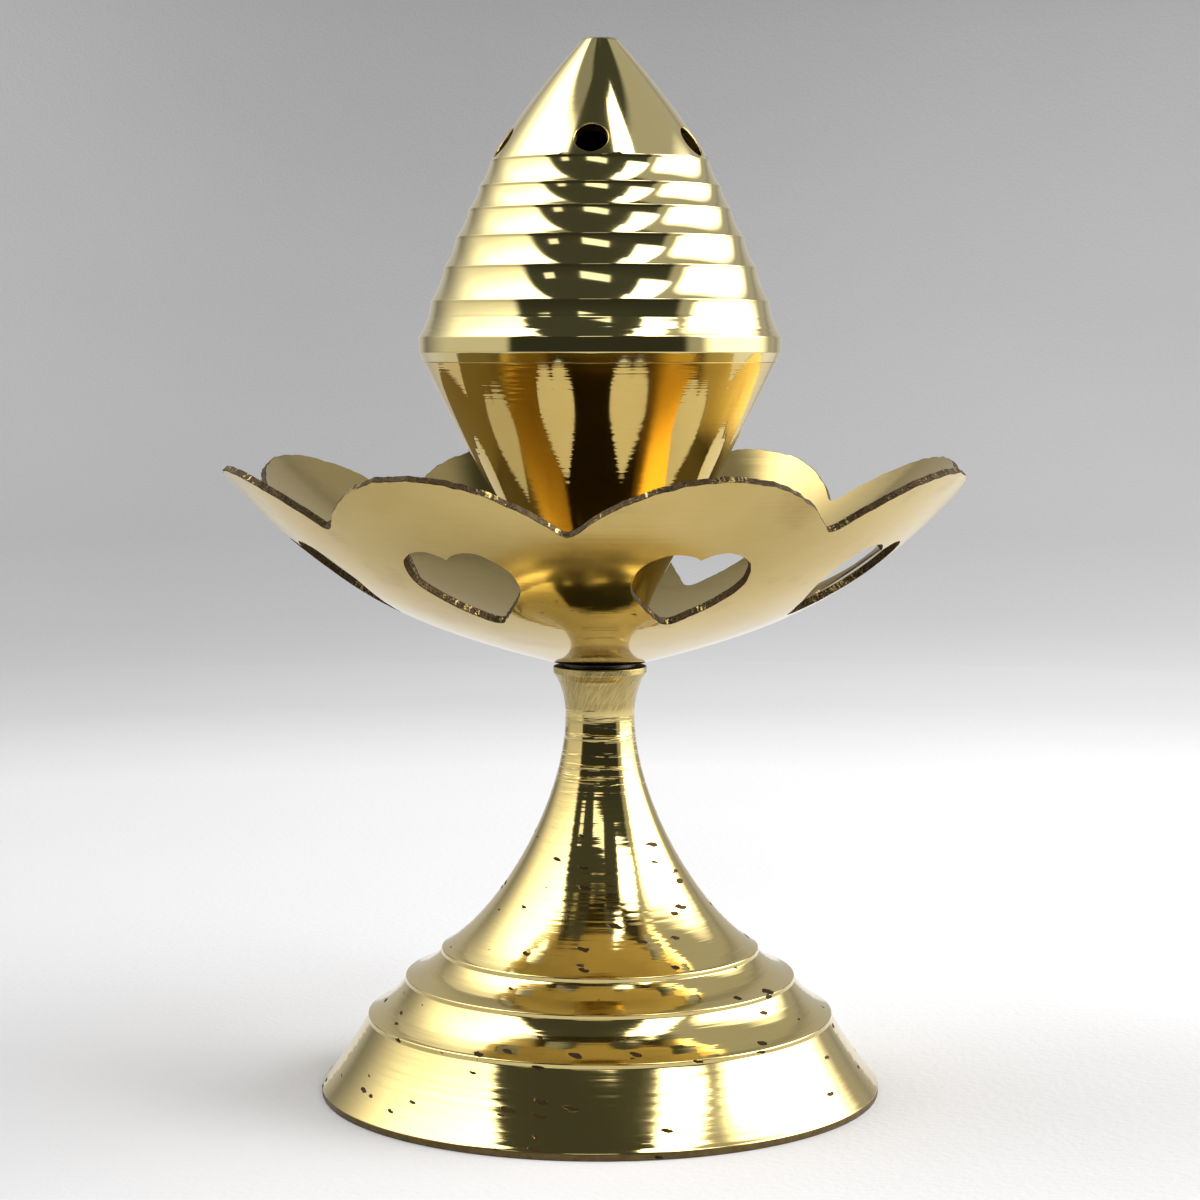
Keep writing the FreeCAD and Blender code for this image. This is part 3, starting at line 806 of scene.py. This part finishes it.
class Graph:
    """A short way to write a node tree. Inputs are socket: value."""

    def __init__(self, tree):
        self.tree = tree
        tree.nodes.clear()

    def put(self, socket, value):
        if isinstance(value, Wire):
            self.tree.links.new(value.socket, socket)
        elif hasattr(value, "__len__") and len(value) == 3 and len(socket.default_value) == 4:
            socket.default_value = (*value, 1)
        else:
            socket.default_value = value

    def node(self, kind, inputs=(), **settings):
        made = self.tree.nodes.new(kind)
        for key, value in settings.items():
            setattr(made, key, value)
        for key, value in dict(inputs).items():
            self.put(made.inputs[key], value)
        return made

    def out(self, kind, output, inputs=(), **settings):
        return Wire(self, self.node(kind, inputs, **settings).outputs[output])

    def math(self, operation, *values, clamp=False):
        return self.out("ShaderNodeMath", 0, enumerate(values), operation=operation, use_clamp=clamp)

    def vector_math(self, operation, *values):
        output = "Value" if operation == "DOT_PRODUCT" else "Vector"
        return self.out("ShaderNodeVectorMath", output, enumerate(values), operation=operation)

    def combine(self, *values):
        return self.out("ShaderNodeCombineXYZ", 0, enumerate(values))

    def split(self, vector):
        return [Wire(self, socket) for socket in self.node("ShaderNodeSeparateXYZ", {0: vector}).outputs]

    def place(self, kind="Object"):
        return self.out("ShaderNodeTexCoord", kind)

    def place_mm(self):
        return self.vector_math("MULTIPLY", self.place(), (1 / MM, 1 / MM, 1 / MM))

    def attribute(self, name):
        return self.out("ShaderNodeAttribute", "Fac", attribute_name=name)

    def radius(self, x, y):
        return self.math("SQRT", x * x + y * y)

    def noise(self, vector, scale, detail=2.0, roughness=0.5):
        return self.out("ShaderNodeTexNoise", "Fac", {
            "Vector": vector, "Scale": scale, "Detail": detail, "Roughness": roughness})

    def ease(self, value, low, high, to_low=0.0, to_high=1.0, kind="SMOOTHSTEP"):
        return self.out("ShaderNodeMapRange", "Result", {
            "Value": value, "From Min": low, "From Max": high, "To Min": to_low, "To Max": to_high,
        }, interpolation_type=kind)

    def mix(self, share, first, second):
        return self.out("ShaderNodeMix", 2, {0: share, 6: first, 7: second}, data_type="RGBA")

    def ramp(self, value, *stops):
        """A value that runs straight from stop to stop, each (where, what)."""
        low, high = stops[0][0], stops[-1][0]
        top = max(what for _, what in stops)
        made = self.node("ShaderNodeFloatCurve", {"Value": self.ease(value, low, high, kind="LINEAR")})
        curve = made.mapping.curves[0]
        while len(curve.points) < len(stops):
            curve.points.new(0.5, 0.5)
        for spot, (where, what) in zip(curve.points, stops):
            spot.location = ((where - low) / (high - low), what / top)
            spot.handle_type = "VECTOR"
        made.mapping.update()
        return Wire(self, made.outputs[0]) * top

    def shade(self, colour, roughness, height, strength=1.0, distance=MM, **more):
        """The surface itself: a shader over a bump of that height."""
        bump = self.out("ShaderNodeBump", 0, {"Strength": strength, "Distance": distance, "Height": height})
        shader = self.out("ShaderNodeBsdfPrincipled", 0, {
            "Base Color": colour, "Roughness": roughness, "Normal": bump, **more})
        self.node("ShaderNodeOutputMaterial", {"Surface": shader})


def new_material(name):
    material = bpy.data.materials.new(name)
    material.use_nodes = True
    return material, Graph(material.node_tree)


ROUGH_SPREAD = 0.05         # how much the smears change a brass's roughness
SATIN_GRAIN = 0.0012
DULL_ROUGH = 0.42
# the two dark tints that the painted shade is mottled between
SHADE_TINTS = ((0.030, 0.018, 0.009), (0.11, 0.070, 0.032))
STAIN_TINT = (0.27, 0.15, 0.06)
DISH_INSIDE = ((0.25, 0.20, 0.085), 0.45)
FILED_TINT = (0.30, 0.225, 0.085)
FILED_FROM = (47.2, 48.4)   # heights the filing fades in over
NECK_FROM = (36.0, 42.0)    # heights the neck's turning marks fade in over
NECK_TO = (47.2, 48.6)      # and out over
NECK_RADIUS = 4.6
CUT_DEPTH = 0.07            # of the file strokes and the neck's marks
PITS_END = (36.0, 40.0)     # heights the pits fade out over
PIT_SIZE = 0.26
PIT_DEPTH = 0.03
PIT_TINT = (0.045, 0.026, 0.012)


def brass(name, colour, deep, roughness, ring_height, band_height, smudge=0.4,
          pits=0.0, filed=False, satin=None, stain=0.0):
    """Worked brass. Turning rings run round the axis; heights are in millimetres. filed adds the
    rougher work on a stem's neck; satin is (roughness, radius it starts at, radius it is full)."""
    material, graph = new_material(name)
    position = graph.place_mm()
    x, y, z = graph.split(position)
    radius = graph.math("MAXIMUM", graph.radius(x, y), 0.01)
    unit_x, unit_y = x / radius, y / radius
    along, dull = graph.attribute("along"), graph.attribute("dull")

    def round_noise(across, pitch, detail, roughness):
        place = graph.combine(unit_x * across, unit_y * across, along * (1 / pitch))
        return graph.noise(place, 1.0, detail, roughness)

    rings = round_noise(0.8, 0.5, 2.0, 0.6)
    bands = round_noise(0.3, 0.9, 1.0, 0.5)
    brushed = round_noise(9.0, 0.16, 2.0, 0.6)
    cloud = graph.noise(position, 0.09)
    height = rings * ring_height + bands * band_height
    tint = graph.mix(graph.ease(cloud * smudge + brushed * 0.25, 0.15, 0.7), colour, deep)
    rough = graph.ease(cloud, 0.35, 0.75) * ROUGH_SPREAD + roughness + brushed * (ROUGH_SPREAD * 0.6)
    if satin:
        full, start, end = satin
        facing = graph.split(graph.place("Normal"))[2]
        share = graph.ease(radius + cloud * 6.0, start + 3, end + 3) * graph.ease(facing, -0.1, 0.1, 1.0, 0.3)
        # the dish's upward faces are mixed toward a darker, greyer tint
        upper_tint, most = DISH_INSIDE
        tint = graph.mix(graph.ease(facing, -0.1, 0.1, 0.0, most), tint, upper_tint)
        rough = rough + share * full
        height = height + brushed * share * SATIN_GRAIN
    if stain:
        elsewhere = graph.vector_math("ADD", position, (31, 7, 3))
        blot = graph.ease(graph.noise(elsewhere, 0.13, 3.0, 0.55), 0.54, 0.72)
        tint = graph.mix(blot * graph.ease(brushed, 0.3, 0.7, 0.5, 1.0) * stain, tint, STAIN_TINT)
    if filed:
        neck = graph.ease(z, *NECK_FROM) * graph.ease(z, *NECK_TO, 1.0, 0.0)
        upper = graph.ease(z, *FILED_FROM)
        arc = graph.math("ARCTAN2", x, y) * NECK_RADIUS
        strokes = graph.noise(graph.combine(arc * 5.0 + z * 2.6, z * 0.55, arc * 0.1), 1.0, 3.0, 0.65)
        marks = graph.ease(round_noise(0.25, 1.0, 3.0, 0.7), 0.50, 0.62)
        height = height + strokes * upper * CUT_DEPTH + marks * neck * CUT_DEPTH
        tint = graph.mix(upper * graph.ease(strokes, 0.3, 0.7, 0.3, 0.9), tint, FILED_TINT)
        rough = rough + upper * 0.10
    if pits:
        wobble = graph.noise(position, 1.6) * 0.9
        slanted = graph.combine(x, y, z * 3.5 + x * 0.7)
        cell = graph.node("ShaderNodeTexVoronoi", {
            "Vector": graph.vector_math("ADD", slanted, graph.combine(wobble, wobble, wobble)), "Scale": 0.27,
        }, feature="F1", voronoi_dimensions="3D")
        chance = graph.split(Wire(graph, cell.outputs["Color"]))[0]
        size = graph.ease(chance, 1 - pits, 1.0) * graph.ease(z, *PITS_END, PIT_SIZE, 0.0)
        hole = graph.math("LESS_THAN", Wire(graph, cell.outputs["Distance"]), size)
        tint = graph.mix(hole, tint, PIT_TINT)
        rough = rough + hole * 0.5
        height = height - hole * PIT_DEPTH
    # painted shade: rows marked for it turn dark, mottled between two dark tints, and rougher
    shade_mottle = graph.ease(graph.noise(position, 0.9, 3.0, 0.6), 0.25, 0.75)
    tint = graph.mix(dull, tint, graph.mix(shade_mottle, *SHADE_TINTS))
    rough = graph.math("ADD", rough, dull * DULL_ROUGH, clamp=True)
    tangent = graph.out("ShaderNodeTangent", 0, direction_type="RADIAL", axis="Z")
    graph.shade(tint, rough, height, Metallic=1.0, Anisotropic=0.3, Tangent=tangent)
    return material


def sawn_edge(name):
    """A pierced edge left as sawn: dark, matt and striped across the sheet, with bright nicks."""
    material, graph = new_material(name)
    position = graph.place_mm()
    across = graph.combine(graph.attribute("along") * 2.6, graph.split(position)[2] * 0.5, 0.0)
    stripes = graph.noise(across, 1.0, 3.0, 0.6)
    grit = graph.noise(position, 4.5, 3.0, 0.6)
    patch = graph.noise(position, 0.22)
    nick = graph.ease(stripes * 0.45 + grit * 0.3 + patch * 0.35, 0.60, 0.68)
    dark = graph.mix(graph.ease(grit, 0.35, 0.65), (0.030, 0.019, 0.009), (0.085, 0.060, 0.030))
    colour = graph.mix(nick, dark, (0.60, 0.44, 0.17))
    graph.shade(colour, graph.ease(nick, 0.0, 1.0, 0.55, 0.3), (stripes + grit) * 0.06, 0.8, Metallic=1.0)
    return material


def dark_steel(name):
    """Darkened steel for the hidden fasteners."""
    material, graph = new_material(name)
    position = graph.place_mm()
    grain = graph.noise(position, 3.2, 4.0, 0.65)
    film = graph.noise(position, 0.6)
    tint = graph.mix(graph.ease(film, 0.3, 0.7), (0.115, 0.100, 0.080), (0.060, 0.050, 0.040))
    colour = graph.mix(graph.ease(grain, 0.6, 0.8), tint, (0.030, 0.020, 0.014))
    graph.shade(colour, graph.ease(grain, 0.2, 0.8, 0.26, 0.5), grain * 0.02, 0.6, Metallic=1.0)
    return material


# ---- build the pieces ----

foot_brass = brass("polished_foot", (0.64, 0.515, 0.215), (0.54, 0.415, 0.155), 0.045, 0.0140, 0.0300,
                   pits=0.55, filed=True)
lid_brass = brass("polished_lid", (0.655, 0.555, 0.265), (0.565, 0.465, 0.20), 0.04, 0.0016, 0.0020)
cup_brass = brass("polished_cup", (0.62, 0.46, 0.15), (0.53, 0.36, 0.10), 0.03, 0.0220, 0.0060)
dish_brass = brass("satin_dish", (0.595, 0.455, 0.178), (0.50, 0.37, 0.125), 0.03, 0.0045, 0.0060,
                   smudge=0.5, satin=(0.13, 30.0, 39.0), stain=0.30)
edge_metal = sawn_edge("sawn_edge")
bore_metal = brass("drilled_bore", (0.62, 0.47, 0.16), (0.46, 0.32, 0.10), 0.12, 0.0015, 0.0010)
steel = dark_steel("dark_steel")

pedestal_skin, _ = turned(pedestal_line(), pedestal_shade_and_dull)
pedestal_skin.make("turned_pedestal", [foot_brass], "pedestal", "stand", "pedestal_brass")
cup_skin, _ = turned(cup_line(), cup_shade_and_dull, closed=True)
cup_skin.make("turned_cup", [cup_brass], "cup", "stand", "cup_brass")
lid_skin().make("turned_lid", [lid_brass, bore_metal], "lid", "lid", "lid_brass")
dish_skin().make("sawn_lotus_dish", [dish_brass, edge_metal], "lotus_dish", "stand", "dish_brass")
for node in ("seat_spacer", "head_washer", "clamp_screw"):
    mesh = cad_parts[node].data
    mesh.materials.clear()
    mesh.materials.append(steel)

# ---- stage: pale floor, pale sweep, soft studio light ----

CAMERA_SIDE = math.radians(5)
SIDE_X, SIDE_Y = math.sin(CAMERA_SIDE), -math.cos(CAMERA_SIDE)      # the way to the camera, in plan
FLOOR_RADIUS = 0.50
SWEEP_RADIUS = 0.30
WALL_HEIGHT = 0.55
STAGE_COLUMNS = 96
# painted shade on the cloth, by metres from the foot and up
CLOTH_SHADE_RAMP = [(0.0, 0.62), (0.28, 0.61), (0.40, 0.455), (0.57, 0.37), (0.66, 0.35), (0.77, 0.40),
               (0.84, 0.425), (0.91, 0.465), (1.0, 0.52)]     # (metres from the foot and up, shade)


def pale_cloth(name):
    """Plain pale cloth. Its painted shade runs from the floor by the foot up the sweep, and a painted shadow
    makes it darker on the left.
    """
    material, graph = new_material(name)
    position = graph.place()
    x, y, z = graph.split(position)
    folds = graph.noise(position, 5.0, 3.0)
    weave = graph.noise(position, 900.0, 2.0, 0.6)
    shaded_tone = graph.ramp(graph.radius(x, y) + z, *CLOTH_SHADE_RAMP)
    # painted shadow: darker on the left, lighter on the right
    shaded_tone = shaded_tone * graph.ease(x, -0.22, 0.22, 0.80, 1.15) * graph.ease(folds, 0.25, 0.75, 1.0, 0.95)
    rough = graph.ease(weave, 0.2, 0.8, 0.85, 0.95)
    graph.shade(graph.combine(shaded_tone, shaded_tone, shaded_tone * 1.03), rough, weave, 0.15, 0.6 * MM)
    return material


def swept(name, line, material):
    """A stage surface turned about the axis from (radius, height) in metres."""
    angles = np.arange(STAGE_COLUMNS) * 2 * math.pi / STAGE_COLUMNS
    vertices = [(*polar(radius, angle), height) for radius, height in line for angle in angles]
    faces = []
    for row in range(len(line) - 1):
        lower, upper = row * STAGE_COLUMNS, (row + 1) * STAGE_COLUMNS
        for j in range(STAGE_COLUMNS):
            k = (j + 1) % STAGE_COLUMNS
            faces.append((lower + j, upper + j, upper + k, lower + k))
    if line[0][0] < 0.01:
        faces.append(tuple(range(STAGE_COLUMNS)))
    made = add_object(name, vertices, faces, [material])
    return made


cloth = pale_cloth("pale_cloth")
swept("floor", [(0.005, 0), (0.1, 0), (FLOOR_RADIUS, 0)], cloth)
bend = [(FLOOR_RADIUS + SWEEP_RADIUS * math.sin(angle), SWEEP_RADIUS * (1 - math.cos(angle)))
        for angle in (math.radians(degrees) for degrees in range(0, 91, 5))]
sweep = swept("backdrop", bend + [(FLOOR_RADIUS + SWEEP_RADIUS, WALL_HEIGHT)], cloth)
sweep.visible_glossy = sweep.visible_diffuse = sweep.visible_shadow = False

world = bpy.data.worlds.new("studio")
bpy.context.scene.world = world
world.use_nodes = True
sky = Graph(world.node_tree)
direction = sky.place("Generated")
toward = sky.vector_math("DOT_PRODUCT", direction, (SIDE_X, SIDE_Y, 0))
sideways = sky.vector_math("DOT_PRODUCT", direction, (-SIDE_Y, SIDE_X, 0))
turn = sky.math("DEGREES", sky.math("ARCTAN2", sideways, toward))
climb = sky.math("DEGREES", sky.math("ARCSINE", sky.split(direction)[2]))


def between(value, low, high, soft, far=None):
    """1 from low to high, fading over soft to either side of each, or over far at the high end."""
    far = far or soft
    return sky.ease(value, low - soft, low + soft) * sky.ease(value, high - far, high + far, 1.0, 0.0)


def window(turns, climbs, soft=1.5, far=None):
    """1 inside a patch of sky given by its turn from the camera's side and its climb."""
    return between(turn, *turns, soft, far) * between(climb, *climbs, soft)


# Every strength is a radiance, and every angle is in degrees.
AMBIENT = (0.045, 0.08)     # low down and high up
left_glow = sky.ramp(climb, (-20, 0.6), (0, 0.8), (10, 1.0), (20, 1.5), (30, 2.4), (40, 3.8), (50, 5.0),
                     (90, 5.0))
left_top = climb + (abs(turn) - 60) * 0.1
left_panel = window((-150, -59), (-60, 80), 2.5, 3.0) * left_glow * sky.ease(left_top, 63, 70, 1.0, 0.06)
left_panel = left_panel * sky.ease(turn, -146, -108, 0.28, 1.0)
right_top = climb + sky.math("MAXIMUM", turn - 80, 0) * 0.30
right_panel = window((70, 126), (-60, 90), 8.0, 16) * sky.ease(right_top, 38, 56, 10.0, 0.0)
right_panel = right_panel * sky.ease(climb, 2, 22, 0.3, 1.0)
right_shade = window((56, 150), (-60, 66), 3.0, 10) * 0.5
streak = window((33, 60), (39, 70), 2.0) * 6.0
streak_top = window((28, 62), (63, 77)) * 6.0
pane_climb = climb - turn * 0.3
pane = window((-15, 8), (-90, 90), 1.2) * sky.ease(pane_climb, 32, 34, 0.0, 2.2)
pane = pane * sky.ease(pane_climb, 42, 44, 1.0, 0.0)
small_pane = window((-44, -36), (29, 37), 0.8) * 1.8
back_glow = sky.ramp(climb, (-90, 0.6), (10, 0.55), (30, 0.55), (60, 0.30), (90, 0.06))
back_wall = sky.ease(abs(turn), 132, 158) * back_glow
total = left_panel
for part in (right_panel, right_shade, streak, streak_top, pane, small_pane, back_wall):
    total = sky.math("MAXIMUM", total, part)
total = total + sky.ease(climb, 12, 40, *AMBIENT)
lit = sky.mix(sky.ease(climb, 0, 60), (1.0, 0.98, 0.94), (1.0, 1.0, 1.0))
tinted = sky.mix(sky.ease(total, 0.08, 0.4), (0.93, 1.0, 0.83), lit)
background = sky.out("ShaderNodeBackground", 0, {"Color": tinted, "Strength": total})
sky.node("ShaderNodeOutputWorld", {"Surface": background})

# ---- camera ----

CAMERA_DISTANCE = 0.362
CAMERA_HEIGHT = 0.0925
CAMERA_PITCH = math.radians(4.93)
LENS = 87.9
SENSOR_WIDTH = 36.0
camera = bpy.data.objects.new("camera", bpy.data.cameras.new("camera"))
bpy.context.scene.collection.objects.link(camera)
camera.data.lens = LENS
camera.data.sensor_width = SENSOR_WIDTH
camera.data.clip_start = 0.01
camera.location = (CAMERA_DISTANCE * SIDE_X, CAMERA_DISTANCE * SIDE_Y, CAMERA_HEIGHT)
look = Vector((-SIDE_X, -SIDE_Y, -math.tan(CAMERA_PITCH)))
camera.rotation_euler = look.to_track_quat("-Z", "Y").to_euler()
bpy.context.scene.camera = camera
bpy.context.scene.view_settings.view_transform = "Standard"
